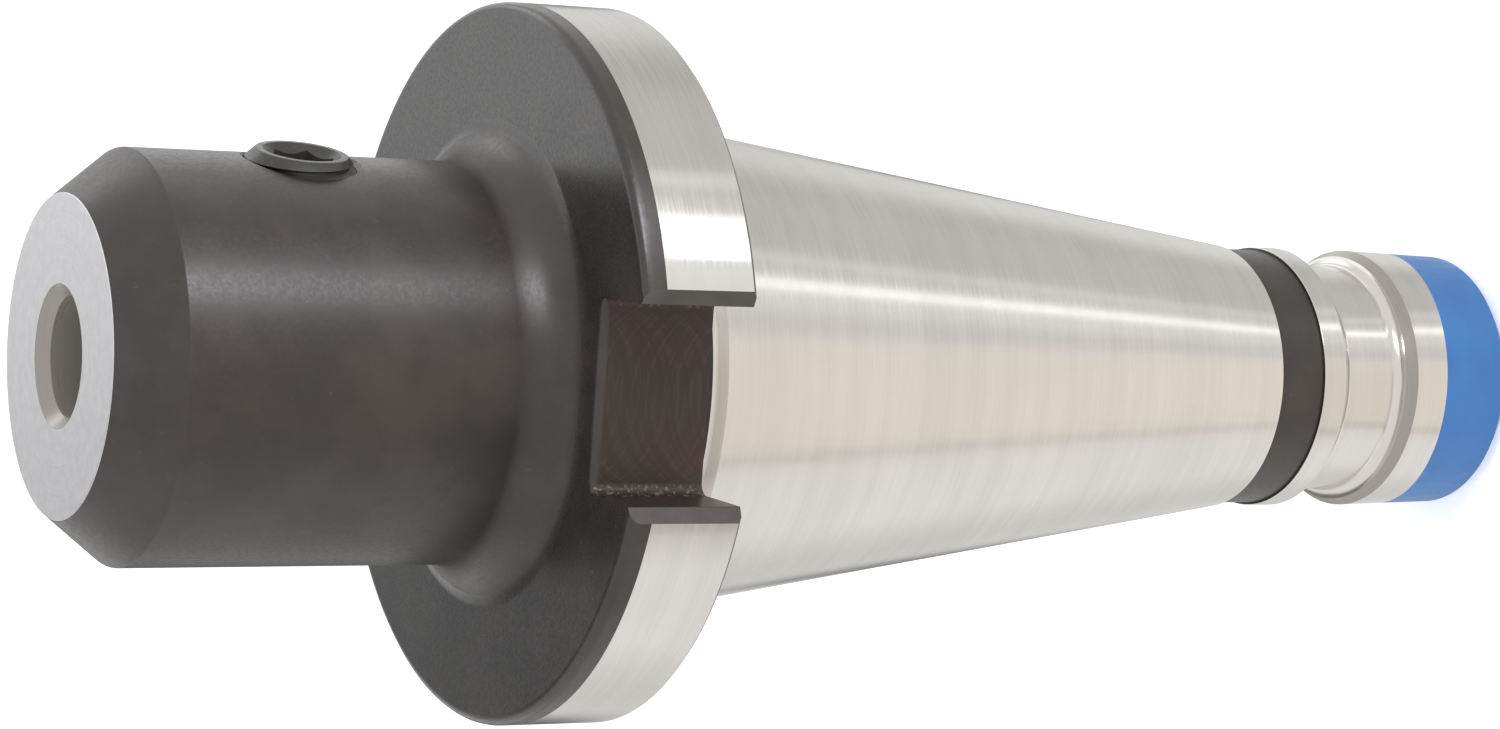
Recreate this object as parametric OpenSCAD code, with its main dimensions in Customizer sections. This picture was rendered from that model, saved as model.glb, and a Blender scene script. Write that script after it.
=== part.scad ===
// Side lock end mill holder with a number 40 steep taper shank.
// The axis of the holder is Z. The nose points up, the tail points down, and z = 0 is the gauge line
// of the taper. The two drive slots face -Y and +Y, and the clamping screw points a little off +X,
// towards -Y.

/* [Taper] */
// Diameter of the taper at its gauge line
gauge_d = 44.45; // [42:0.05:47]
// Length of the ground taper behind the gauge line
taper_len = 65.4; // [55:0.1:68]
// Loss of diameter over 24 mm of length
taper_rate = 7; // [6:0.05:7.5]

/* [Flange] */
// Diameter of the flange
flange_d = 63; // [57:0.5:72]
// Thickness of the flange
flange_t = 10; // [8:0.1:16]
// Distance from the gauge line to the back of the flange
flange_gap = 1.6; // [1:0.1:3]
// Depth of the grinding relief between the flange and the taper
relief_depth = 0.4; // [0.2:0.1:1]
// Length of the plain land between the relief's shoulder and the gauge line
gauge_land = 0.2; // [0.1:0.1:0.5]
// Radius of the flange's front edge
flange_round = 1.6; // [0.5:0.1:3]
// Bevel of the flange's back edge
flange_break = 0.2; // [0.1:0.1:1]

/* [Drive slots] */
// Width of each drive slot
slot_w = 16.1; // [12:0.1:20]
// Distance from the axis to the floor of a slot
slot_floor = 22.5; // [22.4:0.1:26]
// Bevel along the slot's edges on the rim of the flange
slot_bevel = 1.2; // [0.3:0.1:2]
// Radius in the corners of a slot's floor
slot_corner = 0.5; // [0.2:0.1:0.5]

/* [Nose] */
// Diameter of the nose
nose_d = 35; // [30:0.5:38]
// Distance from the gauge line to the nose's face
nose_reach = 50; // [45:0.5:80]
// Diameter of the ground face of the nose
face_d = 27; // [20:0.5:29]
// Length of the bevel behind the face
face_bevel = 5; // [2:0.5:8]
// Radius of the hollow where the nose meets the flange
root_round = 4.7; // [2:0.1:5]
// How far the hollow turns before it meets the flange, in degrees
root_turn = 80; // [40:1:85]

/* [Tool bore] */
// Diameter of the bore that takes the tool's shank
bore_d = 10; // [6:0.5:14]
// Depth of the bore from the nose's face
bore_depth = 45; // [38:0.5:48]
// Bevel at the mouth of the bore
bore_bevel = 1; // [0.3:0.1:2]
// Angle of the drilled ends of the holes, in degrees
drill_angle = 118; // [90:1:140]

/* [Clamping screw] */
// Outer diameter of the screw's thread
screw_d = 10; // [6:0.5:12]
// Length of the screw
screw_len = 12; // [8:0.5:16]
// Distance from the nose's face to the screw
screw_place = 19.2; // [15:0.1:25]
// Angle from +X, which is square to the drive slots, to the screw, towards -Y
screw_turn = 10; // [0:1:20]
// Distance from the axis to the screw's point when it is backed off
screw_rest = 6.2; // [5:0.1:8]
// Radial clearance between the screw and its hole
screw_gap = 0.06; // [0.02:0.01:0.1]
// Diameter of the screw's flat point
point_d = 7; // [4:0.5:9]
// Bevel at the screw's socket end
head_bevel = 0.6; // [0.2:0.1:1]
// Width across the flats of the hexagon socket
socket_af = 5; // [3:0.5:6]
// Depth of the hexagon socket
socket_depth = 5; // [2.5:0.5:7]
// Bevel at the mouth of the screw's hole
hole_bevel = 0.5; // [0.2:0.1:1]

/* [Tail] */
// Distance from the gauge line to the end of the tail
tail_reach = 93.4; // [88:0.1:110]
// Diameter of the tail
tail_d = 25.1; // [24.5:0.1:26]
// Diameter of the unground ring behind the taper
ring_d = 24.6; // [23:0.1:25]
// Length of the unground ring
ring_len = 5; // [3:0.1:8]
// Length of the ground land behind the ring
land_len = 2.5; // [1:0.1:5]
// Diameter of the neck between the land and the collar
neck_d = 21.9; // [20.8:0.1:23.4]
// Length of the slope from the land to the neck
neck_slope = 1.5; // [0.5:0.1:3]
// Length of the neck
neck_len = 5.1; // [3:0.1:7]
// Radius of the hollow at the end of the neck
neck_round = 1; // [0.3:0.1:1.1]
// Length of the bevel at the front of the collar
collar_bevel = 1; // [0.3:0.1:1.5]
// Length of the painted band at the end of the tail
band_len = 7.8; // [4:0.1:9]
// Bevel at the end of the tail
tail_bevel = 1.2; // [0.3:0.1:1.5]

/* [Drawbar hole] */
// Outer diameter of the drawbar's thread
drawbar_d = 16; // [12:0.5:16]
// Pitch of the drawbar's thread
drawbar_pitch = 2; // [1:0.25:2.5]
// Diameter of the plain stretch at the mouth of the hole
pilot_d = 17; // [16.5:0.1:19]
// Length of the plain stretch
pilot_len = 8.2; // [4:0.1:12]
// Depth of the hole to the end of its full diameter
drawbar_depth = 46; // [30:1:52]
// Radial size of the centring bevel at the mouth
centre_bevel = 1; // [0.3:0.1:1.3]
// Angle of the centring bevel, in degrees
centre_angle = 60; // [60:1:90]

/* [Hidden] */
// Cuts run past the faces they open by this much
over = 1;
// Facets of a full turn
turn_facets = 180;
// Depth of a thread as a share of its pitch
thread_share = 0.54125;
nose_r = nose_d / 2;
flange_r = flange_d / 2;
flange_back_z = flange_gap;
flange_front_z = flange_gap + flange_t;
gauge_r = gauge_d / 2;
relief_r = gauge_r - relief_depth;
taper_end_r = gauge_r - taper_len * taper_rate / 48;
tail_r = tail_d / 2;
ring_end_z = -taper_len - ring_len;
land_end_z = ring_end_z - land_len;
neck_start_z = land_end_z - neck_slope;
neck_end_z = neck_start_z - neck_len;
collar_z = neck_end_z - neck_round;
band_z = -tail_reach + band_len;
neck_r = neck_d / 2;
screw_z = nose_reach - screw_place;
screw_r = screw_d / 2;
thread_core_r = drawbar_d / 2 - drawbar_pitch * thread_share;
pilot_r = pilot_d / 2;
black_oxide = [0.27, 0.27, 0.28];
ground_steel = [0.80, 0.80, 0.78];
marking_blue = [0.29, 0.52, 0.77];

// What a convex corner loses when it is rounded; the corner points to +x and +y.
module round_off(radius) {
    difference() {
        translate([-radius, -radius]) square(radius + over);
        translate([-radius, -radius]) circle(radius, $fn = 96);
    }
}

// What a hollow adds in an inside corner that opens to +x and +y, after turning by an angle.
module hollow_fill(radius, angle) {
    difference() {
        square([radius * (1 - cos(angle)), radius * sin(angle)]);
        translate([radius, radius * sin(angle)]) circle(radius, $fn = 96);
    }
}

// Half section of the nose and the flange.
module front_section() {
    difference() {
        polygon([
            [0, flange_back_z],
            [flange_r - flange_break, flange_back_z],
            [flange_r, flange_back_z + flange_break],
            [flange_r, flange_front_z],
            [0, flange_front_z]
        ]);
        translate([flange_r, flange_front_z]) round_off(flange_round);
    }
    polygon([
        [0, flange_back_z],
        [nose_r, flange_back_z],
        [nose_r, nose_reach - face_bevel],
        [face_d / 2, nose_reach],
        [0, nose_reach]
    ]);
    translate([nose_r, flange_front_z]) hollow_fill(root_round, root_turn);
}

// Half section of the shank, from the flange to the painted band.
module shank_section() {
    polygon([
        [0, flange_back_z],
        [relief_r, flange_back_z],
        [relief_r, gauge_land + relief_depth],
        [gauge_r, gauge_land],
        [gauge_r, 0],
        [taper_end_r, -taper_len],
        [ring_d / 2, -taper_len],
        [ring_d / 2, ring_end_z],
        [tail_r, ring_end_z],
        [tail_r, land_end_z],
        [neck_r, neck_start_z],
        [neck_r, collar_z],
        [neck_r + neck_round, collar_z],
        [tail_r, collar_z - collar_bevel],
        [tail_r, band_z],
        [0, band_z]
    ]);
    translate([neck_r, collar_z]) hollow_fill(neck_round, 90);
}

// Half section of the painted end of the tail.
module band_section() {
    polygon([
        [0, band_z],
        [tail_r, band_z],
        [tail_r, -tail_reach + tail_bevel],
        [tail_r - tail_bevel, -tail_reach],
        [0, -tail_reach]
    ]);
}

// Bore for the tool, with its bevelled mouth and its drilled end.
module tool_bore() {
    r = bore_d / 2;
    end_z = nose_reach - bore_depth;
    rotate_extrude($fn = turn_facets)
        polygon([
            [0, nose_reach + over],
            [r + bore_bevel + over, nose_reach + over],
            [r, nose_reach - bore_bevel],
            [r, end_z],
            [0, end_z - r / tan(drill_angle / 2)]
        ]);
}

// Hole for the drawbar: centring bevel, plain stretch, thread core and drilled end.
module drawbar_hole() {
    slope = tan(centre_angle / 2);
    pilot_z = -tail_reach + pilot_len;
    end_z = -tail_reach + drawbar_depth;
    rotate_extrude($fn = turn_facets)
        polygon([
            [0, -tail_reach - over],
            [pilot_r + centre_bevel + over * slope, -tail_reach - over],
            [pilot_r, -tail_reach + centre_bevel / slope],
            [pilot_r, pilot_z],
            [thread_core_r, pilot_z + pilot_r - thread_core_r],
            [thread_core_r, end_z],
            [0, end_z + thread_core_r / tan(drill_angle / 2)]
        ]);
}

// One drive slot, facing +Y, with rounded corners at its floor and bevels along its edges on the rim.
module drive_slot() {
    rim = sqrt(flange_r * flange_r - slot_w * slot_w / 4);
    half = slot_w / 2;
    flare = slot_bevel + over;
    translate([0, 0, flange_back_z - over / 2])
        linear_extrude(flange_t + over)
            difference() {
                polygon([
                    [-half, slot_floor],
                    [half, slot_floor],
                    [half, rim - slot_bevel],
                    [half + flare, rim + over],
                    [half + flare, flange_r + over],
                    [-half - flare, flange_r + over],
                    [-half - flare, rim + over],
                    [-half, rim - slot_bevel]
                ]);
                translate([half, slot_floor]) mirror([0, 1]) round_off(slot_corner);
                translate([-half, slot_floor]) rotate(180) round_off(slot_corner);
            }
}

// Hole for the clamping screw, from the bore out through the nose.
module screw_hole() {
    hole_r = screw_r + screw_gap;
    translate([0, 0, screw_z])
        rotate([0, 90, -screw_turn])
            rotate_extrude($fn = turn_facets)
                polygon([
                    [0, 0],
                    [hole_r, 0],
                    [hole_r, nose_r - hole_bevel],
                    [hole_r + hole_bevel + over, nose_r + over],
                    [0, nose_r + over]
                ]);
}

// The holder itself: one turned, milled and ground piece.
module holder_body() {
    difference() {
        union() {
            color(black_oxide) rotate_extrude($fn = turn_facets) front_section();
            color(ground_steel) rotate_extrude($fn = turn_facets) shank_section();
            color(marking_blue) rotate_extrude($fn = turn_facets) band_section();
        }
        color(ground_steel) tool_bore();
        color(ground_steel) drawbar_hole();
        color(black_oxide) drive_slot();
        color(black_oxide) mirror([0, 1, 0]) drive_slot();
        color(black_oxide) screw_hole();
    }
}

// The side lock screw, backed off so that its point clears the bore.
module clamping_screw() {
    point_bevel = screw_r - point_d / 2;
    color(black_oxide)
        rotate(-screw_turn)
            translate([screw_rest, 0, screw_z])
                rotate([0, 90, 0])
                    difference() {
                        rotate_extrude($fn = turn_facets)
                            polygon([
                                [0, 0],
                                [point_d / 2, 0],
                                [screw_r, point_bevel],
                                [screw_r, screw_len - head_bevel],
                                [screw_r - head_bevel, screw_len],
                                [0, screw_len]
                            ]);
                        translate([0, 0, screw_len - socket_depth])
                            cylinder(h = socket_depth + over, d = socket_af / cos(30), $fn = 6);
                    }
}

holder_body();
clamping_screw();
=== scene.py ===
"""Side lock end mill holder with a steep taper shank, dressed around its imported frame.

The axis of the holder is Z: the nose points up and the tail stands on the floor. Lengths are in millimetres
inside the classes and become metres when a mesh is made.
"""
import logging
import math
from collections.abc import Callable, Iterator
from contextlib import contextmanager
from dataclasses import dataclass, replace
from enum import Enum

import bmesh
import bpy
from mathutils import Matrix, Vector


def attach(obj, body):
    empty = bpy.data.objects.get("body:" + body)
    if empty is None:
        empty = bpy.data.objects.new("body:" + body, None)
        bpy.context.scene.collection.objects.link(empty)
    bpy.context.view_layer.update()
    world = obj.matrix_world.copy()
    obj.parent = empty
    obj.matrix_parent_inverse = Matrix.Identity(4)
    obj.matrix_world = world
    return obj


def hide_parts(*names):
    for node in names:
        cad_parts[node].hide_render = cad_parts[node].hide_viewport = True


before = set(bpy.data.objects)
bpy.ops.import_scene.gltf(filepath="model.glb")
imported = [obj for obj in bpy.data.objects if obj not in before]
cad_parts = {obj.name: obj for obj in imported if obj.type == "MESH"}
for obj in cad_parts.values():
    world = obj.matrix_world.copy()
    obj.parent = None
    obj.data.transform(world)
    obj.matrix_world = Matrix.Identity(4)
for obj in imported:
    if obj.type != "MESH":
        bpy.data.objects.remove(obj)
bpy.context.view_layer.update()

log = logging.getLogger("holder")

MM = 0.001
# Millimetres that a cutter reaches past what it cuts, and that a sorted face may be off by rounding.
PAST = 1.0
HAIR = 0.01
# Corners this close become one, in metres.
WELD = 1e-6
FINE_WELD = 1e-7
Piece = bpy.types.Object
Sockets = dict[int | str, object]
Point = tuple[float, float]
Place = tuple[float, float, float]
Colour = tuple[float, float, float]


class Finish(Enum):
    """The surfaces of the holder, in the order of its material slots."""

    OXIDE = 0
    GROUND = 1
    FACE = 2
    BORE = 3
    SLOT = 4
    PAINT = 5
    LAND = 6
    FLANGE = 7
    RIM = 8
    MOUTH = 9
    BEVEL = 10


@dataclass(frozen=True)
class Term:
    """One shader number or vector: an output socket that Python's operators work on."""

    bench: "Bench"
    socket: bpy.types.NodeSocket

    def _math(self, operation: str, first: object, second: object) -> "Term":
        """The result of one Math node on two values or links."""
        return self.bench.node("ShaderNodeMath", {"operation": operation}, {0: first, 1: second})

    def __add__(self, other: object) -> "Term":
        """This plus the other."""
        return self._math("ADD", self, other)

    def __radd__(self, other: object) -> "Term":
        """The other plus this."""
        return self._math("ADD", other, self)

    def __sub__(self, other: object) -> "Term":
        """This minus the other."""
        return self._math("SUBTRACT", self, other)

    def __rsub__(self, other: object) -> "Term":
        """The other minus this."""
        return self._math("SUBTRACT", other, self)

    def __mul__(self, other: object) -> "Term":
        """This times the other."""
        return self._math("MULTIPLY", self, other)

    def __rmul__(self, other: object) -> "Term":
        """The other times this."""
        return self._math("MULTIPLY", other, self)

    def __truediv__(self, other: object) -> "Term":
        """This divided by the other."""
        return self._math("DIVIDE", self, other)

    def __pow__(self, other: object) -> "Term":
        """This to the power of the other."""
        return self._math("POWER", self, other)

    def ramp(self, low: float, high: float, to_low: float = 0.0, to_high: float = 1.0) -> "Term":
        """Maps a range smoothly onto another and holds its ends.

        Args:
            low: Value that becomes to_low.
            high: Value that becomes to_high.
            to_low: Result at and below low.
            to_high: Result at and above high.

        Returns:
            The mapped number.
        """
        return self.bench.node(
            "ShaderNodeMapRange",
            {"interpolation_type": "SMOOTHSTEP", "clamp": True},
            {"Value": self, "From Min": low, "From Max": high, "To Min": to_low, "To Max": to_high},
        )


class Bench:
    """A node tree under construction."""

    def __init__(self, tree: bpy.types.NodeTree) -> None:
        """Starts from an empty tree."""
        self.tree = tree
        self.tree.nodes.clear()

    def node(self, kind: str, settings: dict[str, object], sockets: Sockets, out: int = 0) -> Term:
        """Adds any node.

        Args:
            kind: The node's type.
            settings: Its settings, set before its sockets.
            sockets: A value or a Term for each input, by name or number.
            out: Number of the output that is returned.

        Returns:
            The output as a Term, which is empty for a node without outputs.
        """
        made = self.tree.nodes.new(kind)
        for name, value in settings.items():
            setattr(made, name, value)
        for key, value in sockets.items():
            if isinstance(value, Term):
                self.tree.links.new(value.socket, made.inputs[key])
            else:
                made.inputs[key].default_value = value
        return Term(self, made.outputs[out] if len(made.outputs) else None)

    def place(self) -> Term:
        """The place on the piece, in metres."""
        return self.node("ShaderNodeTexCoord", {}, {}, out=3)

    def parts(self, vector: Term) -> tuple[Term, Term, Term]:
        """The x, y and z of a vector."""
        outputs = self.node("ShaderNodeSeparateXYZ", {}, {0: vector}).socket.node.outputs
        return Term(self, outputs[0]), Term(self, outputs[1]), Term(self, outputs[2])

    def stretched(self, vector: Term, scale: tuple[float, float, float]) -> Term:
        """A vector with each of its parts scaled."""
        return self.node("ShaderNodeVectorMath", {"operation": "MULTIPLY"}, {0: vector, 1: scale})

    def noise(self, vector: Term, scale: float, detail: float = 2.0, rough: float = 0.5) -> Term:
        """Noise between about 0 and 1.

        Args:
            vector: Where it is read.
            scale: Its features per metre of the vector.
            detail: Octaves.
            rough: Strength of the finer octaves.

        Returns:
            The noise's value.
        """
        return self.node(
            "ShaderNodeTexNoise",
            {},
            {"Vector": vector, "Scale": scale, "Detail": detail, "Roughness": rough},
        )

    def blend(self, factor: object, first: object, second: object) -> Term:
        """Mixes two colours.

        Args:
            factor: Share of the second colour.
            first: Colour or Term at factor 0.
            second: Colour or Term at factor 1.

        Returns:
            The mixed colour.
        """
        first = (*first, 1.0) if isinstance(first, tuple) else first
        second = (*second, 1.0) if isinstance(second, tuple) else second
        return self.node("ShaderNodeMix", {"data_type": "RGBA"}, {0: factor, 6: first, 7: second}, out=2)

    def bump(self, height: Term, distance: float, strength: float) -> Term:
        """The normal bumped by a height from 0 to 1, over a distance in metres."""
        sockets = {"Height": height, "Distance": distance, "Strength": strength}
        return self.node("ShaderNodeBump", {}, sockets)


@dataclass(frozen=True)
class Coat:
    """Base of every finish: a name and the shader's own sockets."""

    name: str
    tint: Colour = (0.5, 0.5, 0.5)

    def surface(self, bench: Bench) -> Sockets:
        """The shader's sockets, by name."""
        raise NotImplementedError

    def shaded(self, bench: Bench, factor: object, dark: float, light: float) -> Term:
        """The finish's tint, from a dark share of it at factor 0 to a light one at factor 1."""
        return bench.blend(factor, tuple(dark * c for c in self.tint), tuple(light * c for c in self.tint))

    def make(self) -> bpy.types.Material:
        """Makes the material of this finish.

        Returns:
            The material, with its nodes.
        """
        material = bpy.data.materials.new(self.name)
        material.use_nodes = True
        bench = Bench(material.node_tree)
        shader = bench.node("ShaderNodeBsdfPrincipled", {}, self.surface(bench))
        bench.node("ShaderNodeOutputMaterial", {}, {0: shader})
        return material


@dataclass(frozen=True)
class GroundSteel(Coat):
    """Bright steel with the fine lines that a grinding wheel leaves round it."""

    tint: Colour = (0.63, 0.605, 0.575)
    roughness: float = 0.17
    anisotropy: float = 0.7
    metallic: float = 1.0
    lines_per_metre: float = 7500.0

    def surface(self, bench: Bench) -> Sockets:
        """Lines that change along the axis and hardly round it, and a faint cloudiness."""
        place = bench.place()
        lines = bench.noise(bench.stretched(place, (0.02, 0.02, 1.0)), self.lines_per_metre, 3.0, 0.6)
        bands = bench.noise(bench.stretched(place, (0.03, 0.03, 1.0)), 420.0)
        cloud = bench.noise(place, 90.0, 3.0, 0.55)
        shade = lines.ramp(0.3, 0.7) * 0.4 + bands.ramp(0.35, 0.65) * 0.35 + cloud.ramp(0.35, 0.65) * 0.25
        return {
            "Base Color": self.shaded(bench, shade, 0.93, 1.05),
            "Metallic": self.metallic,
            "Roughness": lines.ramp(0.25, 0.75, self.roughness - 0.03, self.roughness + 0.04),
            "Anisotropic": self.anisotropy,
            "Anisotropic Rotation": 0.25,
            "Normal": bench.bump(lines, 0.000002, 0.5),
        }


@dataclass(frozen=True)
class FaceSteel(Coat):
    """A turned and ground end face, lighter and duller than the taper."""

    tint: Colour = (0.66, 0.653, 0.668)
    roughness: float = 0.34

    def surface(self, bench: Bench) -> Sockets:
        """Rings round the axis and a fine grain."""
        place = bench.place()
        x, y, z = bench.parts(place)
        reach = (x * x + y * y) ** 0.5
        rings = bench.noise(bench.node("ShaderNodeCombineXYZ", {}, {0: reach, 1: z}), 4200.0, 2.0, 0.6)
        grain = bench.noise(place, 900.0, 4.0, 0.6)
        shade = rings.ramp(0.3, 0.7) * 0.45 + grain.ramp(0.35, 0.65) * 0.55
        return {
            "Base Color": self.shaded(bench, shade, 0.9, 1.06),
            "Metallic": 1.0,
            "Roughness": grain.ramp(0.3, 0.7, self.roughness - 0.04, self.roughness + 0.05),
            "Normal": bench.bump(rings, 0.000004, 0.4),
        }


@dataclass(frozen=True)
class Oxide(Coat):
    """Black oxide on machined steel: dark, faintly mottled, with lighter specks."""

    tint: Colour = (0.0193, 0.0150, 0.0126)
    roughness: float = 0.36
    ior: float = 1.54
    speck: float = 0.3
    speck_tint: Colour = (0.10, 0.10, 0.10)

    def surface(self, bench: Bench) -> Sockets:
        """Mottling, turning marks and specks where the steel shows."""
        place = bench.place()
        mottle = bench.noise(place, 150.0, 4.0, 0.6)
        grain = bench.noise(place, 2600.0, 3.0, 0.65)
        lines = bench.noise(bench.stretched(place, (0.05, 0.05, 1.0)), 3200.0)
        specks = bench.noise(place, 1500.0).ramp(0.70, 0.80)
        base = self.shaded(bench, mottle.ramp(0.35, 0.7), 1.0, 1.7)
        return {
            "Base Color": bench.blend(specks * self.speck, base, self.speck_tint),
            "Metallic": 0.0,
            "Roughness": grain.ramp(0.3, 0.7, self.roughness - 0.05, self.roughness + 0.06),
            "IOR": self.ior,
            "Normal": bench.bump(grain * 0.7 + lines * 0.3, 0.000004, 0.28),
        }


@dataclass(frozen=True)
class MilledOxide(Coat):
    """Brown-black oxide over the arcs that a milling cutter leaves in a slot."""

    tint: Colour = (0.027, 0.0150, 0.0115)
    red: Colour = (0.035, 0.0135, 0.0120)
    green: Colour = (0.025, 0.0165, 0.0115)
    # Colour of the painted shade on the slot's side walls.
    wall: Colour = (0.0135, 0.0120, 0.0118)
    roughness: float = 0.34
    arc_radius: float = 0.00825
    arcs_per_metre: float = 1900.0
    corner_in: float = 0.0073
    corner_depth: float = 0.0236
    wall_shade_in: float = 0.0080
    wall_shade_full: float = 0.0082
    chip: Colour = (0.13, 0.125, 0.12)

    def arcs(self, bench: Bench, x: Term, z: Term, way: float) -> Term:
        """One set of arcs, spaced and shaded as unevenly as a cutter leaves them.

        Args:
            bench: The tree.
            x: Place across the slot.
            z: Place along the slot.
            way: 1 for arcs that bow one way, -1 for the other.

        Returns:
            Shade of the arcs, between about 0 and 1.
        """
        most = self.arc_radius**2 * 0.98
        across = bench.node("ShaderNodeMath", {"operation": "MINIMUM"}, {0: x * x, 1: most})
        along = z + (self.arc_radius**2 - across) ** 0.5 * way
        line = bench.node("ShaderNodeCombineXYZ", {}, {0: x * 0.06, 1: way * 0.1, 2: along})
        return bench.noise(line, self.arcs_per_metre, 3.0, 0.65)

    def surface(self, bench: Bench) -> Sockets:
        """Two sets of arcs that cross, over brown with reddish and greenish patches, and painted shade on
        the slot's side walls.
        """
        place = bench.place()
        x, y, z = bench.parts(place)
        arcs = self.arcs(bench, x, z, 1.0) * 0.5 + self.arcs(bench, x, z, -1.0) * 0.5
        cloud = bench.noise(place, 240.0, 4.0, 0.6)
        grain = bench.noise(place, 2600.0, 3.0, 0.6)
        base = bench.blend(cloud.ramp(0.50, 0.66), self.tint, self.red)
        base = bench.blend(cloud.ramp(0.50, 0.34), base, self.green)
        light = tuple(2.6 * c for c in self.tint)
        base = bench.blend(arcs.ramp(0.46, 0.64) * 0.4, base, light)
        side = (x * x) ** 0.5
        # Painted shade: the side walls are darkened towards the wall colour.
        base = bench.blend(side.ramp(self.wall_shade_in, self.wall_shade_full) * 0.8, base, self.wall)
        corner = side.ramp(self.corner_in, self.corner_in + 0.0003)
        corner = corner * (y * y).ramp((self.corner_depth + 0.0002) ** 2, self.corner_depth**2)
        chips = bench.noise(place, 2400.0).ramp(0.55, 0.64) * corner
        return {
            "Base Color": bench.blend(chips * 0.7, base, self.chip),
            "Metallic": 0.0,
            "Roughness": arcs.ramp(0.3, 0.7, self.roughness - 0.06, self.roughness + 0.06),
            "IOR": 1.45,
            "Normal": bench.bump(arcs * 0.8 + grain * 0.2, 0.00001, 0.7),
        }


@dataclass(frozen=True)
class MarkingPaint(Coat):
    """Flat blue paint that marks the end of the tail."""

    tint: Colour = (0.028, 0.152, 0.41)

    def surface(self, bench: Bench) -> Sockets:
        """Slightly uneven paint with the soft ripple of a brush."""
        place = bench.place()
        cloud = bench.noise(place, 220.0, 3.0, 0.5)
        ripple = bench.noise(bench.stretched(place, (1.0, 1.0, 0.3)), 900.0)
        return {
            "Base Color": self.shaded(bench, cloud.ramp(0.3, 0.7), 0.94, 1.07),
            "Metallic": 0.0,
            "Roughness": ripple.ramp(0.3, 0.7, 0.36, 0.46),
            "IOR": 1.5,
            "Normal": bench.bump(ripple, 0.00002, 0.35),
        }


@dataclass(frozen=True)
class PaleFloor(Coat):
    """The plain matt floor, which sends out a little light of its own."""

    tint: Colour = (0.8, 0.8, 0.8)
    glow: float = 0.45

    def surface(self, bench: Bench) -> Sockets:
        """One even shade without reflections."""
        return {
            "Base Color": (*self.tint, 1.0),
            "Roughness": 1.0,
            "IOR": 1.0,
            "Emission Color": (1.0, 1.0, 1.0, 1.0),
            "Emission Strength": self.glow,
        }


def lay_down_tools() -> None:
    """Leaves edit mode and deselects every object."""
    if bpy.context.object is not None and bpy.context.object.mode != "OBJECT":
        bpy.ops.object.mode_set(mode="OBJECT")
    bpy.ops.object.select_all(action="DESELECT")


def added(operator: Callable[..., object], name: str, **settings: object) -> Piece:
    """A new object with a name, made by one of the add operators with its settings."""
    lay_down_tools()
    operator(**settings)
    bpy.context.object.name = name
    return bpy.context.object


def take(piece: Piece) -> None:
    """Makes one object the only selected and the active one."""
    lay_down_tools()
    piece.select_set(True)
    bpy.context.view_layer.objects.active = piece


@contextmanager
def editing(piece: Piece) -> Iterator[None]:
    """Edit mode on one piece, with all of it selected at first."""
    take(piece)
    bpy.ops.object.mode_set(mode="EDIT")
    bpy.ops.mesh.select_all(action="SELECT")
    yield
    bpy.ops.object.mode_set(mode="OBJECT")


def settle(piece: Piece) -> None:
    """Puts a piece's place into its mesh, so that its object sits at the origin."""
    take(piece)
    bpy.ops.object.transform_apply(location=True, rotation=True, scale=True)


def pick_faces(piece: Piece, wanted: Callable[[bmesh.types.BMFace], bool]) -> None:
    """Selects the faces that a test accepts, in edit mode.

    Args:
        piece: The mesh in edit mode.
        wanted: The test.
    """
    bpy.ops.mesh.select_all(action="DESELECT")
    mesh = bmesh.from_edit_mesh(piece.data)
    mesh.normal_update()
    for face in mesh.faces:
        if wanted(face):
            face.select_set(True)
    bmesh.update_edit_mesh(piece.data)


def pick_corners(piece: Piece, wanted: Callable[[Vector], bool]) -> None:
    """Selects the corners that a test accepts, in edit mode.

    Args:
        piece: The mesh in edit mode.
        wanted: The test of a corner's place, in millimetres.
    """
    bpy.ops.mesh.select_all(action="DESELECT")
    mesh = bmesh.from_edit_mesh(piece.data)
    for corner in mesh.verts:
        if wanted(corner.co / MM):
            corner.select_set(True)
    mesh.select_flush(True)
    bmesh.update_edit_mesh(piece.data)


def close_skin(piece: Piece) -> None:
    """Merges a mesh's double corners and turns every face outwards."""
    with editing(piece):
        bpy.ops.mesh.remove_doubles(threshold=FINE_WELD)
        bpy.ops.mesh.normals_make_consistent(inside=False)


def cut(piece: Piece, tool: Piece, how: str = "DIFFERENCE") -> None:
    """Cuts a piece with a tool, or keeps what they share, and throws the tool away.

    A sliver that the boolean leaves open at a corner is filled.

    Args:
        piece: The mesh that is cut.
        tool: The mesh that cuts.
        how: The boolean's operation.
    """
    take(piece)
    modifier = piece.modifiers.new("cut", "BOOLEAN")
    modifier.operation = how
    modifier.solver = "EXACT"
    modifier.object = tool
    bpy.ops.object.modifier_apply(modifier=modifier.name)
    bpy.data.objects.remove(tool)
    with editing(piece):
        bpy.ops.mesh.fill_holes(sides=4)


def finish_shading(piece: Piece, angle: float) -> None:
    """Smooths what is round, keeps sharp corners, and lets large faces rule the shading.

    Args:
        piece: The mesh.
        angle: Corners above this angle stay sharp, in degrees.
    """
    take(piece)
    bpy.ops.object.shade_smooth_by_angle(angle=math.radians(angle))
    modifier = piece.modifiers.new("weights", "WEIGHTED_NORMAL")
    modifier.keep_sharp = True
    modifier.weight = 90
    bpy.ops.object.modifier_apply(modifier=modifier.name)


@dataclass(frozen=True)
class Corner:
    """One corner of a half section: distance from the axis, place along it, and the radius of its round."""

    r: float
    z: float
    round: float = 0.0


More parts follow.
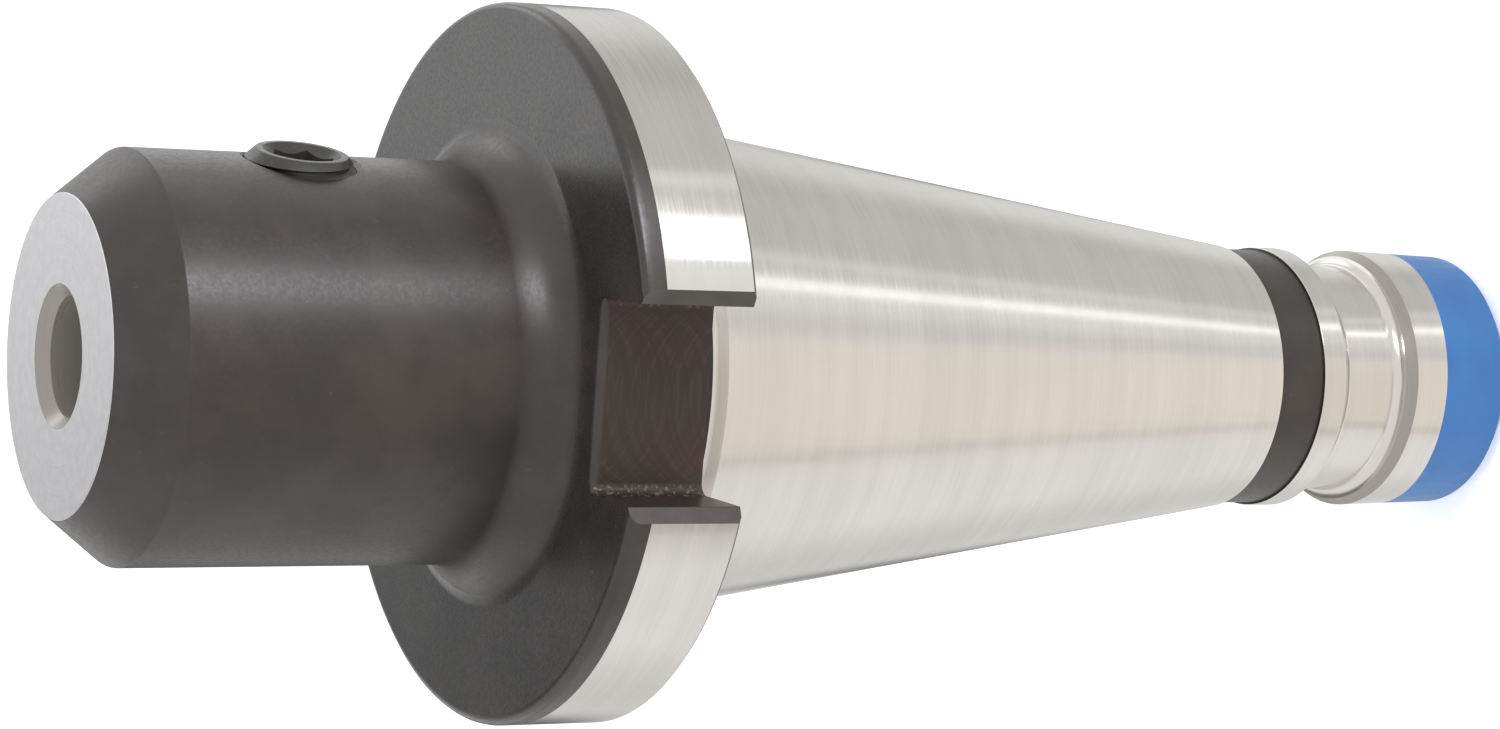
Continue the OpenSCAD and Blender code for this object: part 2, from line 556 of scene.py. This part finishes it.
def rounded(corners: list[Corner], steps: int = 4) -> list[Point]:
    """Follows a half section and rounds the corners that ask for it.

    Args:
        corners: The section's corners in order.
        steps: Straight steps in each round.

    Returns:
        The points of the section.
    """
    points: list[Point] = []
    for before, here, after in zip([None, *corners[:-1]], corners, [*corners[1:], None]):
        if here.round <= 0 or before is None or after is None:
            points.append((here.r, here.z))
            continue
        middle = Vector((here.r, here.z))
        back = (Vector((before.r, before.z)) - middle).normalized()
        ahead = (Vector((after.r, after.z)) - middle).normalized()
        half = back.angle(ahead) / 2
        reach = here.round / math.tan(half)
        centre = middle + (back + ahead).normalized() * (here.round / math.sin(half))
        start = middle + back * reach - centre
        turn = Vector((start.x, start.y)).angle_signed(middle + ahead * reach - centre)
        for i in range(steps + 1):
            angle = -turn * i / steps
            spoke = Vector((
                start.x * math.cos(angle) - start.y * math.sin(angle),
                start.x * math.sin(angle) + start.y * math.cos(angle),
            ))
            points.append((centre.x + spoke.x, centre.y + spoke.y))
    return points


def drawn(name: str, corners: list[Place]) -> Piece:
    """Draws a line corner by corner.

    Args:
        name: Name of the piece.
        corners: Its corners in order, in millimetres.

    Returns:
        The line as a piece, in edit mode and all selected.
    """
    place = tuple(c * MM for c in corners[0])
    piece = added(bpy.ops.mesh.primitive_plane_add, name, size=MM, location=place)
    settle(piece)
    bpy.ops.object.mode_set(mode="EDIT")
    bpy.ops.mesh.select_all(action="SELECT")
    bpy.ops.mesh.merge(type="CENTER")
    for here, there in zip(corners, corners[1:]):
        step = tuple((b - a) * MM for a, b in zip(here, there))
        bpy.ops.mesh.extrude_vertices_move(TRANSFORM_OT_translate={"value": step})
    bpy.ops.mesh.select_all(action="SELECT")
    return piece


def push(height: float) -> None:
    """Pulls the picked faces along Z, in millimetres."""
    bpy.ops.mesh.extrude_region_move(TRANSFORM_OT_translate={"value": (0, 0, height * MM)})


def turned(name: str, section: list[Point], facets: int) -> Piece:
    """Draws a half section corner by corner and spins it about Z.

    Args:
        name: Name of the piece.
        section: Points of the section from axis to axis, in millimetres.
        facets: Facets of the full turn.

    Returns:
        The closed turned piece.
    """
    piece = drawn(name, [(r, 0, z) for r, z in section])
    bpy.ops.mesh.spin(steps=facets, angle=math.tau, center=(0, 0, 0), axis=(0, 0, 1))
    close_skin(piece)
    return piece


def pulled(name: str, outline: list[Point], low: float, high: float) -> Piece:
    """Draws an outline corner by corner in the plane of X and Y, fills it and pulls it along Z.

    Args:
        name: Name of the piece.
        outline: Corners of the outline in order, in millimetres; the last joins the first.
        low: Where the piece starts along Z.
        high: Where it ends.

    Returns:
        The closed piece.
    """
    piece = drawn(name, [(x, y, low) for x, y in [*outline, outline[0]]])
    bpy.ops.mesh.remove_doubles(threshold=WELD)
    bpy.ops.mesh.edge_face_add()
    push(high - low)
    bpy.ops.object.mode_set(mode="OBJECT")
    close_skin(piece)
    return piece


@dataclass(frozen=True)
class SideWay:
    """The way of the clamping screw: its height and its turn from +X towards -Y, in degrees."""

    height: float = 30.8
    turn: float = 10.0

    @property
    def ahead(self) -> Vector:
        """Direction in which the screw backs out."""
        angle = math.radians(-self.turn)
        return Vector((math.cos(angle), math.sin(angle), 0.0))

    def lay(self, piece: Piece, reach: float = 0.0) -> Piece:
        """Lays a piece that stands on Z along the way.

        Args:
            piece: The piece, with its foot at the origin.
            reach: How far from the holder's axis its foot goes, in millimetres.

        Returns:
            The same piece.
        """
        piece.rotation_euler = (0, math.pi / 2, math.radians(-self.turn))
        piece.location = (self.ahead * reach + Vector((0, 0, self.height))) * MM
        settle(piece)
        return piece


@dataclass(frozen=True)
class Thread:
    """A sixty degree thread on a rod, by its outer radius and pitch."""

    radius: float
    pitch: float
    depth_share: float = 0.6134
    facets: int = 72

    @property
    def core(self) -> float:
        """Radius at the root of the thread."""
        return self.radius - self.pitch * self.depth_share

    def rod(self, name: str, start: float, turns: int, growth: float = 0.0) -> Piece:
        """Makes a closed threaded rod along Z.

        Args:
            name: Name of the rod.
            start: Where its first turn starts, in millimetres.
            turns: Full turns.
            growth: Added to every radius, for a hole.

        Returns:
            The rod, about a pitch longer than its turns.
        """
        flank = self.pitch * self.depth_share * math.tan(math.radians(30))
        crest = self.pitch / 8
        root = self.pitch - crest - 2 * flank
        low, high = self.core + growth, self.radius + growth
        outline = [
            (low, start), (low, start + root), (high, start + root + flank),
            (high, start + root + flank + crest), (low, start + self.pitch),
        ]
        rod = drawn(name, [(r, 0, z) for r, z in outline])
        bpy.ops.object.mode_set(mode="OBJECT")
        screw = rod.modifiers.new("turns", "SCREW")
        screw.angle = math.tau
        screw.screw_offset = self.pitch * MM
        screw.iterations = turns
        screw.steps = self.facets
        screw.render_steps = self.facets
        screw.use_merge_vertices = True
        screw.merge_threshold = WELD
        bpy.ops.object.modifier_apply(modifier=screw.name)
        with editing(rod):
            bpy.ops.mesh.remove_doubles(threshold=WELD)
            bpy.ops.mesh.select_all(action="DESELECT")
            bpy.ops.mesh.select_non_manifold(extend=False)
            bpy.ops.mesh.fill()
        close_skin(rod)
        return rod


SIDE_WAY = SideWay()
SIDE_THREAD = Thread(5.0, 1.5)


@dataclass
class ClampingScrew:
    """The side lock screw: a threaded blank with a hexagon socket, backed off in its hole."""

    thread: Thread = SIDE_THREAD
    way: SideWay = SIDE_WAY
    length: float = 12.0
    rest: float = 6.2
    point_radius: float = 3.5
    head_radius: float = 3.9
    head_bevel: float = 1.2
    socket_flats: float = 5.0
    socket_depth: float = 5.0
    drill_inset: float = 0.55
    drill_depth: float = 0.5
    mouth_radius: float = 3.35
    mouth_depth: float = 0.9
    mouth_gap: float = 0.1
    lead: float = 0.75
    facets: int = 144

    def blank(self) -> Piece:
        """The screw before its thread is cut, standing on its point."""
        radius = self.thread.radius
        return turned("clamping_screw_skin", rounded([
            Corner(0, 0),
            Corner(self.point_radius, 0, 0.15),
            Corner(radius, radius - self.point_radius, 0.1),
            Corner(radius, self.length - self.head_bevel, 0.12),
            Corner(self.head_radius, self.length, 0.2),
            Corner(0, self.length),
        ]), self.facets)

    def socket(self) -> Piece:
        """The hexagon that is broached into the head, with the drilled cone at its bottom."""
        across = self.socket_flats / math.cos(math.pi / 6) / 2
        depth = self.socket_depth + PAST
        tool = added(
            bpy.ops.mesh.primitive_cylinder_add, "socket",
            vertices=6, radius=across * MM, depth=depth * MM, rotation=(0, 0, math.pi / 6),
            location=(0, 0, (self.length - self.socket_depth + depth / 2) * MM),
        )
        settle(tool)
        with editing(tool):
            pick_faces(tool, lambda face: face.normal.z < -0.9)
            bpy.ops.mesh.inset(thickness=self.drill_inset * MM)
            push(-self.drill_depth)
            bpy.ops.transform.resize(value=(0.2, 0.2, 1))
        return tool

    def mouth(self) -> Piece:
        """The cone that opens the socket; its foot stays clear of the hexagon's flats."""
        foot = self.socket_flats / 2 - self.mouth_gap
        slope = (self.mouth_radius - foot) / self.mouth_depth
        return turned("socket_mouth", [
            (0, self.length - self.mouth_depth), (foot, self.length - self.mouth_depth),
            (self.mouth_radius + slope * PAST, self.length + PAST), (0, self.length + PAST),
        ], 72)

    def build(self) -> Piece:
        """Models the screw and puts it where its CAD node stands.

        Returns:
            The dressed screw.
        """
        screw = self.blank()
        cut(screw, self.thread.rod("screw_thread", self.lead - 2 * self.thread.pitch, 12), "INTERSECT")
        cut(screw, self.socket())
        cut(screw, self.mouth())
        close_skin(screw)
        self.way.lay(screw, self.rest)
        finish_shading(screw, 32)
        screw.data.materials.clear()
        coat = Oxide("screw_oxide", tint=(0.027, 0.0255, 0.024), roughness=0.34, ior=1.47)
        screw.data.materials.append(coat.make())
        return screw


@dataclass
class HolderBody:
    """The one-piece holder: nose, flange with its drive slots, taper and grooved tail."""

    gauge_radius: float = 22.225
    taper_length: float = 65.4
    taper_rate: float = 7.0 / 48.0
    flange_radius: float = 31.5
    flange_back: float = 1.25
    flange_front: float = 11.6
    flange_break: float = 0.35
    flange_round: float = 0.95
    rim_front: float = 9.6
    relief_radius: float = 21.97
    land_radius: float = 22.15
    land_front: float = 0.17
    land_slope: float = 0.35
    land_back: float = -0.95
    nose_radius: float = 17.5
    nose_reach: float = 50.0
    face_radius: float = 13.5
    face_bevel: float = 5.0
    root_round: float = 4.7
    root_turn: float = 80.0
    root_steps: int = 16
    bore_radius: float = 5.0
    bore_depth: float = 45.0
    bore_bevel: float = 1.0
    slot_half: float = 8.22
    slot_floor: float = 22.6
    slot_bevel: float = 1.32
    slot_rise: float = 0.56
    slot_corner: float = 1.0
    slot_edge: float = 0.72
    slot_edge_gap: float = 0.04
    way: SideWay = SIDE_WAY
    hole_bevel: float = 0.12
    thread_play: float = 0.1
    hole_play: float = 0.06
    hole_facets: int = 144
    tail_reach: float = 93.4
    tail_radius: float = 12.55
    tail_end_radius: float = 12.25
    ring_radius: float = 12.3
    ring_length: float = 5.0
    land_length: float = 2.5
    neck_radius: float = 10.95
    neck_slope: float = 1.5
    neck_length: float = 5.1
    neck_round: float = 1.0
    neck_steps: int = 8
    collar_bevel: float = 1.0
    band_length: float = 7.0
    band_tilt: float = 5.5
    tail_bevel: float = 1.2
    pilot_radius: float = 8.5
    pilot_length: float = 8.2
    centre_bevel: float = 1.0
    drawbar: Thread = Thread(8.0, 2.0, 0.54125)
    drawbar_depth: float = 46.0
    side_thread: Thread = SIDE_THREAD
    side_turns: int = 16
    drill_half_angle: float = 59.0
    centre_half_angle: float = 30.0
    facets: int = 288

    @property
    def taper_end(self) -> float:
        """Radius of the taper's small end."""
        return self.gauge_radius - self.taper_length * self.taper_rate

    @property
    def band_edge(self) -> float:
        """Middle height of the paint's edge."""
        return -self.tail_reach + self.band_length

    @property
    def ring_end(self) -> float:
        """Height where the unground ring behind the taper ends."""
        return -self.taper_length - self.ring_length

    @property
    def neck_end(self) -> float:
        """Height where the plain part of the neck ends."""
        return self.ring_end - self.land_length - self.neck_slope - self.neck_length

    @property
    def collar_top(self) -> float:
        """Height of the collar's front edge, behind the neck."""
        return self.neck_end - self.neck_round

    def hollow(self) -> list[Corner]:
        """The hollow between the nose and the flange's face, as corners of a fine polygon."""
        turn = math.radians(self.root_turn)
        radius = self.root_round
        centre = (self.nose_radius + radius, self.flange_front + radius * math.sin(turn))
        angles = [turn * i / self.root_steps for i in range(self.root_steps + 1)]
        return [Corner(centre[0] - radius * math.cos(a), centre[1] - radius * math.sin(a)) for a in angles]

    def neck_foot(self) -> list[Corner]:
        """The quarter hollow between the neck and the collar."""
        radius = self.neck_round
        angles = [math.pi / 2 * i / self.neck_steps for i in range(self.neck_steps + 1)]
        return [
            Corner(self.neck_radius + radius * (1 - math.cos(a)), self.neck_end - radius * math.sin(a))
            for a in angles
        ]

    def section(self) -> list[Point]:
        """The half section of the whole holder, from the bore's drilled end to the drawbar hole's.

        Returns:
            Points in millimetres.
        """
        floor_z = self.nose_reach - self.bore_depth
        cone = 1 / math.tan(math.radians(self.drill_half_angle))
        ring_end = self.ring_end
        land_end = ring_end - self.land_length
        pilot_end = -self.tail_reach + self.pilot_length
        drill_end = -self.tail_reach + self.drawbar_depth
        core = self.drawbar.core
        slope = math.tan(math.radians(self.centre_half_angle))
        bore = [
            Corner(0, floor_z - self.bore_radius * cone),
            Corner(self.bore_radius, floor_z),
            Corner(self.bore_radius, self.nose_reach - self.bore_bevel, 0.15),
            Corner(self.bore_radius + self.bore_bevel, self.nose_reach, 0.1),
        ]
        nose = [
            Corner(self.face_radius, self.nose_reach, 0.12),
            Corner(self.nose_radius, self.nose_reach - self.face_bevel, 0.35),
            *self.hollow(),
        ]
        flange = [
            Corner(self.flange_radius, self.flange_front, self.flange_round),
            Corner(self.flange_radius, self.rim_front),
            Corner(self.flange_radius, self.flange_back + self.flange_break, 0.05),
            Corner(self.flange_radius - self.flange_break, self.flange_back, 0.05),
        ]
        step = self.land_front + self.land_slope
        taper_start = self.gauge_radius + self.land_back * self.taper_rate
        shank = [
            Corner(self.relief_radius, self.flange_back, 0.2),
            Corner(self.relief_radius, step),
            Corner(self.land_radius, self.land_front),
            Corner(self.land_radius - 0.06, self.land_back),
            Corner(taper_start, self.land_back - 0.03, 0.02),
            Corner(self.taper_end, -self.taper_length, 0.06),
            Corner(self.ring_radius, -self.taper_length),
            Corner(self.ring_radius, ring_end),
            Corner(self.tail_radius, ring_end, 0.08),
            Corner(self.tail_radius, land_end, 0.2),
            Corner(self.neck_radius, land_end - self.neck_slope, 0.6),
            *self.neck_foot(),
        ]
        tail = [
            Corner(self.neck_radius + self.neck_round + 0.02, self.collar_top),
            Corner(self.tail_radius, self.collar_top - self.collar_bevel, 0.1),
            Corner((self.tail_radius + self.tail_end_radius) / 2, self.band_edge),
            Corner(self.tail_end_radius, -self.tail_reach + self.tail_bevel, 0.2),
            Corner(self.tail_end_radius - self.tail_bevel, -self.tail_reach, 0.15),
        ]
        drawbar = [
            Corner(self.pilot_radius + self.centre_bevel, -self.tail_reach, 0.1),
            Corner(self.pilot_radius, -self.tail_reach + self.centre_bevel / slope, 0.1),
            Corner(self.pilot_radius, pilot_end),
            Corner(core, pilot_end + self.pilot_radius - core),
            Corner(core, drill_end),
            Corner(0, drill_end + core * cone),
        ]
        return rounded(bore + nose + flange + shank + tail + drawbar)

    def floor_edge(self) -> list[Point]:
        """The rounded front edge of a slot's floor, and the cutter's way out past the flange's face.

        Returns:
            Steps from the floor, towards the axis, with their heights.
        """
        turns = [math.radians(a) for a in (0, 25, 50, 75)]
        radius, last = self.slot_edge, math.sin(turns[-1])
        foot = self.flange_front - self.slot_edge_gap
        edge = [(radius * (math.cos(a) - 1), foot + radius * (math.sin(a) - last)) for a in turns]
        edge.append((edge[-1][0] - 0.5, edge[-1][1] + 0.1))
        edge.append((edge[-1][0], edge[-1][1] + PAST))
        return edge

    def slot_cutter(self, side: int) -> Piece:
        """The cutter of one drive slot: round in its floor's corners, open at the rim, and broken in front.

        Args:
            side: 1 for the slot that faces +Y, -1 for the other.

        Returns:
            The cutter.
        """
        wide = self.slot_half + self.slot_bevel
        rim = math.sqrt(self.flange_radius**2 - wide**2)
        right = rounded([
            Corner(0, self.slot_floor),
            Corner(self.slot_half, self.slot_floor, self.slot_corner),
            Corner(self.slot_half, rim - self.slot_rise, 0.12),
            Corner(wide + PAST, rim + PAST * self.slot_rise / self.slot_bevel),
            Corner(wide + PAST, self.flange_radius + PAST),
        ], 6)
        left = [(-x, y) for x, y in reversed(right[1:])]
        edge = self.floor_edge()
        top = self.slot_floor + self.slot_corner
        tool = pulled("slot_cutter", right + left, self.flange_back - PAST, edge[0][1])
        with editing(tool):
            for here, there in zip(edge, edge[1:]):
                pick_faces(tool, lambda face: face.normal.z > 0.9)
                push(there[1] - here[1])
                pick_corners(tool, lambda place: place.y < top + 0.001 and abs(place.z - there[1]) < HAIR)
                growth = (self.slot_corner - there[0]) / (self.slot_corner - here[0])
                bpy.ops.transform.resize(value=(1, growth, 1), center_override=(0, top * MM, 0))
        if side < 0:
            tool.rotation_euler = (0, 0, math.pi)
            settle(tool)
        close_skin(tool)
        return tool

    def screw_hole(self) -> Piece:
        """The plain part of the side hole, as a turned cutter along the screw's way."""
        core = self.side_thread.core + self.thread_play
        mouth = self.side_thread.radius + self.hole_play
        start = self.nose_radius - self.hole_bevel - (mouth - core) / math.tan(math.radians(45))
        tool = turned("side_hole", [
            (0, 0), (core, 0), (core, start), (mouth, self.nose_radius - self.hole_bevel),
            (mouth + self.hole_bevel + PAST, self.nose_radius + PAST), (0, self.nose_radius + PAST),
        ], self.hole_facets)
        return self.way.lay(tool)

    def zone(self, middle: Vector, normal: Vector) -> Finish:
        """Says which finish a face gets.

        Args:
            middle: Middle of the face, in metres.
            normal: Its normal.

        Returns:
            The finish.
        """
        x, y, z = abs(middle.x) / MM, abs(middle.y) / MM, middle.z / MM
        r = math.hypot(x, y)
        face_round, bore_round, pilot_round = 0.14, 0.08, 0.12
        bore_mouth = self.bore_radius + self.bore_bevel
        pilot_mouth = self.pilot_radius + self.centre_bevel + pilot_round
        if z < self.band_edge - HAIR and r > pilot_mouth:
            return Finish.PAINT
        if z > self.nose_reach - self.bore_bevel - bore_round and r < bore_mouth + bore_round:
            return Finish.MOUTH
        if r < pilot_mouth + HAIR and z < 0:
            return Finish.BORE
        if z > self.nose_reach - face_round and r > bore_mouth:
            return Finish.FACE
        if r < bore_mouth + bore_round and z > 0 and not self._in_side_hole(middle):
            return Finish.BORE
        # The collar's chamfer takes the dark steel of the bore's mouth: a painted dark reflection on it.
        if self.collar_top - self.collar_bevel - 2 * HAIR < z < self.collar_top:
            return Finish.MOUTH
        if z < self.land_back - HAIR / 2:
            return Finish.OXIDE if self.ring_end - HAIR < z < -self.taper_length + HAIR else Finish.GROUND
        if r < self.gauge_radius + HAIR and z < self.land_front + HAIR:
            return Finish.LAND
        if r < self.gauge_radius + HAIR and z < self.land_front + self.land_slope - HAIR:
            return Finish.GROUND
        return self._flange_zone(x, y, z, normal)

    def _flange_zone(self, x: float, y: float, z: float, normal: Vector) -> Finish:
        """The finish of a face in front of the land, outside the bore and off the nose's end.

        Args:
            x: Its distance from the slots' middle plane, in millimetres.
            y: Its distance from the plane square to that one.
            z: Its height.
            normal: Its normal.

        Returns:
            The finish.
        """
        wall = self.slot_half + 0.05
        r = math.hypot(x, y)
        upright = math.hypot(normal.x, normal.y) > 0.9
        inside = y >= self.slot_floor - 0.02 and x <= wall and z <= self.flange_front - HAIR
        if inside and upright and r < self.flange_radius - 0.1:
            return Finish.SLOT
        if r < self.relief_radius + HAIR and z < self.flange_back - HAIR:
            return Finish.SLOT
        rim_back = self.flange_back + self.flange_break
        if r > self.flange_radius - 0.1 and rim_back - 0.03 < z < self.rim_front + HAIR:
            return Finish.RIM
        if abs(normal.z) > 0.9 and z > self.flange_front - 0.02:
            return Finish.FLANGE
        outside = r > self.nose_radius + self.root_round - 0.3
        if outside and normal.z > 0.5 and z > self.flange_front - self.slot_edge:
            return Finish.FLANGE
        # The slots' bevels take a lighter oxide: partly worn edges, partly painted sheen.
        deep = self.slot_floor + self.slot_corner < y and r < self.flange_radius - HAIR
        if deep and upright and wall < x < self.slot_half + self.slot_bevel:
            return Finish.BEVEL
        return Finish.OXIDE

    def _in_side_hole(self, middle: Vector) -> bool:
        """True for a face of the side hole."""
        place = middle / MM
        along = place.dot(self.way.ahead)
        away = (place - self.way.ahead * along - Vector((0, 0, self.way.height))).length
        outside = math.hypot(place.x, place.y) > self.bore_radius + HAIR
        return along > 0 and away < self.side_thread.radius + 0.3 and outside

    def dress(self, piece: Piece) -> None:
        """Gives every face of the holder its finish."""
        piece.data.materials.clear()
        # Dark dull steel for the bore's mouth; on the collar's chamfer its darkness is painted shade.
        dark_steel_and_collar_shade = GroundSteel(
            "mouth_steel_and_collar_shade", tint=(0.31, 0.29, 0.265), roughness=0.3, anisotropy=0.3, metallic=0.65
        )
        for coat in (
            Oxide("black_oxide"),
            GroundSteel("ground_steel"),
            FaceSteel("face_steel"),
            replace(dark_steel_and_collar_shade, name="bore_steel", tint=(0.55, 0.52, 0.48)),
            MilledOxide("slot_oxide"),
            MarkingPaint("marking_blue"),
            GroundSteel("land_steel", tint=(0.52, 0.49, 0.455), roughness=0.24, anisotropy=0.5),
            Oxide("flange_oxide", tint=(0.0175, 0.0150, 0.0142), roughness=0.25),
            GroundSteel("rim_steel", roughness=0.12, anisotropy=0.5),
            dark_steel_and_collar_shade,
            # Lighter oxide on the slots' bevels, partly wear and partly a painted sheen for the light they
            # catch.
            Oxide("bevel_wear_and_painted_sheen", tint=(0.040, 0.035, 0.031)),
        ):
            piece.data.materials.append(coat.make())
        for face in piece.data.polygons:
            face.material_index = self.zone(face.center, face.normal).value

    def build(self) -> Piece:
        """Models and dresses the holder.

        Returns:
            The dressed holder.
        """
        piece = turned("holder_body_skin", self.section(), self.facets)
        self.tilt_band(piece)
        cut(piece, self.slot_cutter(1))
        cut(piece, self.slot_cutter(-1))
        cut(piece, self.screw_hole())
        start = self.rest_phase() - 3 * self.side_thread.pitch
        rod = self.side_thread.rod("side_thread", start, self.side_turns, self.thread_play)
        cut(piece, self.way.lay(rod))
        close_skin(piece)
        finish_shading(piece, 32)
        self.dress(piece)
        return piece

    def tilt_band(self, piece: Piece) -> None:
        """Tilts the edge of the paint a little, as the tail was dipped by hand."""
        with editing(piece):
            pick_corners(piece, lambda place: abs(place.z - self.band_edge) < HAIR)
            centre = (0, 0, self.band_edge * MM)
            bpy.ops.transform.rotate(
                value=math.radians(self.band_tilt), orient_axis="X", center_override=centre
            )

    def rest_phase(self) -> float:
        """Where a turn of the side thread starts, so that it meshes with the screw at rest."""
        screw = ClampingScrew()
        return screw.rest + screw.lead - 2 * self.side_thread.pitch


@dataclass(frozen=True)
class Strip:
    """An upright soft light that faces the holder's axis and hides from the camera.

    Its azimuth is in degrees from +X, and its radiance says how bright it looks.
    """

    name: str
    azimuth: float
    low: float
    high: float
    width: float
    radiance: float
    reach: float = 100.0
    tint: Colour = (1.0, 1.0, 1.05)

    def hang(self) -> None:
        """Adds the light to the scene."""
        angle = math.radians(self.azimuth)
        middle = (self.low + self.high) / 2
        height = self.high - self.low
        place = Vector((self.reach * math.cos(angle), self.reach * math.sin(angle), middle)) * MM
        target = Vector((0, 0, middle)) * MM
        lamp = added(bpy.ops.object.light_add, self.name, type="AREA", location=place)
        lamp.data.shape = "RECTANGLE"
        lamp.data.size = self.width * MM
        lamp.data.size_y = height * MM
        lamp.data.energy = self.radiance * math.pi * self.width * height * MM * MM
        lamp.data.color = self.tint
        lamp.rotation_euler = (target - place).to_track_quat("-Z", "Y").to_euler()
        lamp.visible_camera = False


@dataclass(frozen=True)
class Glow:
    """A paler or duller place in the surround, by its azimuth in degrees from +X.

    It has its full strength inside the inner angle from that azimuth and none past the outer one.
    """

    strength: float
    azimuth: float
    inner: float
    outer: float


@dataclass
class Studio:
    """The floor, the camera and the light round the holder."""

    low: tuple[Glow, ...] = (
        Glow(0.9, -37.8, 1.0, 4.0), Glow(0.24, -22.5, 1.0, 4.0), Glow(-0.28, 3.0, 12.0, 48.0),
        Glow(-0.10, 60.0, 20.0, 50.0), Glow(-0.14, -59.5, 2.0, 9.0), Glow(-0.18, -133.5, 1.0, 5.0),
        Glow(0.06, -163.0, 15.0, 32.0), Glow(-0.22, 118.0, 5.0, 60.0),
    )
    near: tuple[Glow, ...] = (Glow(-0.30, -108.0, 15.0, 45.0), Glow(-0.65, 102.0, 8.0, 32.0))
    rim: tuple[Glow, ...] = (Glow(0.32, -56.5, 2.0, 6.0), Glow(0.50, 102.0, 8.0, 32.0))
    side: Glow = Glow(1.0, 45.0, 20.0, 48.0)
    back: Glow = Glow(1.0, 95.0, 25.0, 45.0)
    high: Glow = Glow(1.5, 58.0, 3.0, 14.0)
    warm: Glow = Glow(1.0, -102.5, 12.0, 45.0)
    split: float = 95.5
    level: float = 1.04
    floor_z: float = -93.42
    floor_span: float = 8000.0
    camera_place: Place = (33.3811, -302.9917, 152.9458)
    camera_turn: Place = (1.7636298, 61.1175167, -81.7556304)
    lens: float = 92.252
    sensor: float = 36.0

    def aim(self) -> None:
        """Sets the camera where the photograph was taken from."""
        place = tuple(c * MM for c in self.camera_place)
        turn = tuple(math.radians(a) for a in self.camera_turn)
        camera = added(bpy.ops.object.camera_add, "camera", location=place, rotation=turn)
        camera.data.sensor_width = self.sensor
        camera.data.lens = self.lens
        camera.data.clip_start = 0.01
        bpy.context.scene.camera = camera

    def lay_floor(self) -> None:
        """Lays the pale floor under the tail."""
        size, place = self.floor_span * MM, (0, 0, self.floor_z * MM)
        floor = added(bpy.ops.mesh.primitive_plane_add, "floor", size=size, location=place)
        settle(floor)
        floor.data.materials.append(PaleFloor("pale_floor").make())
        floor.visible_glossy = False

    def wrap(self) -> None:
        """Wraps the scene in a soft white surround with a few paler and duller places.

        Those of low, near, side and rim lie below the horizon, where warm adds a tint, and those of back and
        high lie above it.
        """
        world = bpy.data.worlds.new("surround")
        bpy.context.scene.world = world
        world.use_nodes = True
        world.cycles.sampling_method = "NONE"
        bench = Bench(world.node_tree)
        direction = bench.node("ShaderNodeTexCoord", {}, {}, out=0)
        x, y, z = bench.parts(direction)
        level = (x * x + y * y) ** 0.5

        def lobe(glow: Glow) -> Term:
            """One inside a glow's inner angle and nothing past its outer one."""
            angle = math.radians(glow.azimuth)
            toward = (x * math.cos(angle) + y * math.sin(angle)) / level
            return toward.ramp(math.cos(math.radians(glow.outer)), math.cos(math.radians(glow.inner)))

        def joined(glows: tuple[Glow, ...], total: object = 0.0) -> object:
            """The sum of some glows, added to a first value."""
            for glow in glows:
                total = total + glow.strength * lobe(glow)
            return total

        below = z.ramp(-0.10, -0.25)
        beside = below * z.ramp(-0.62, -0.52)
        near = joined(self.near, lobe(self.side) * z.ramp(-0.435, -0.395, -0.10, 0.60))
        rim = z.ramp(-0.435, -0.455) * z.ramp(-0.54, -0.50) * joined(self.rim)
        behind = lobe(self.back)
        face = z.ramp(0.12, 0.25) * behind
        flange = z.ramp(0.345, 0.40) * behind
        turn, spread = math.radians(self.split), math.sin(math.radians(3.0))
        past = ((y * math.cos(turn) - x * math.sin(turn)) / level).ramp(-spread, spread)
        high = flange * (0.72 - 1.25 * past) - 0.26 * face
        high = high + joined((self.high,)) * z.ramp(0.08, 0.20) * z.ramp(0.50, 0.38)
        strength = self.level + joined(self.low) * below + near * beside + rim + high
        warm = lobe(self.warm) * below
        colour = bench.blend(warm, (1.0, 1.0, 1.0), (1.09, 1.02, 0.94))
        shade = bench.node("ShaderNodeBackground", {}, {"Color": colour, "Strength": strength})
        bench.node("ShaderNodeOutputWorld", {}, {0: shade})

    def light(self) -> None:
        """Hangs the soft strips that draw the highlights along the nose and the rim."""
        for strip in (
            Strip("nose_strip", -46.5, -21.0, 14.0, 26.0, 4.9),
            Strip("root_strip", -46.5, 14.0, 66.0, 26.0, 8.0),
            Strip("rim_strip", -51.9, -40.0, -27.0, 10.5, 2.4),
        ):
            strip.hang()

    def build(self) -> None:
        """Sets up the whole studio."""
        bpy.context.scene.view_settings.view_transform = "Standard"
        self.aim()
        self.lay_floor()
        self.wrap()
        self.light()


def main() -> None:
    """Builds the studio and the two pieces, and says what each is."""
    logging.basicConfig(level=logging.INFO, format="%(message)s")
    Studio().build()
    body = HolderBody().build()
    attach(body, "holder")
    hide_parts("holder_body")
    log.info("%s: %d faces, %d materials", body.name, len(body.data.polygons), len(body.data.materials))
    screw = ClampingScrew().build()
    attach(screw, "screw")
    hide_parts("clamping_screw")
    log.info("%s: %d faces, %d materials", screw.name, len(screw.data.polygons), len(screw.data.materials))


if __name__ == "__main__":
    main()
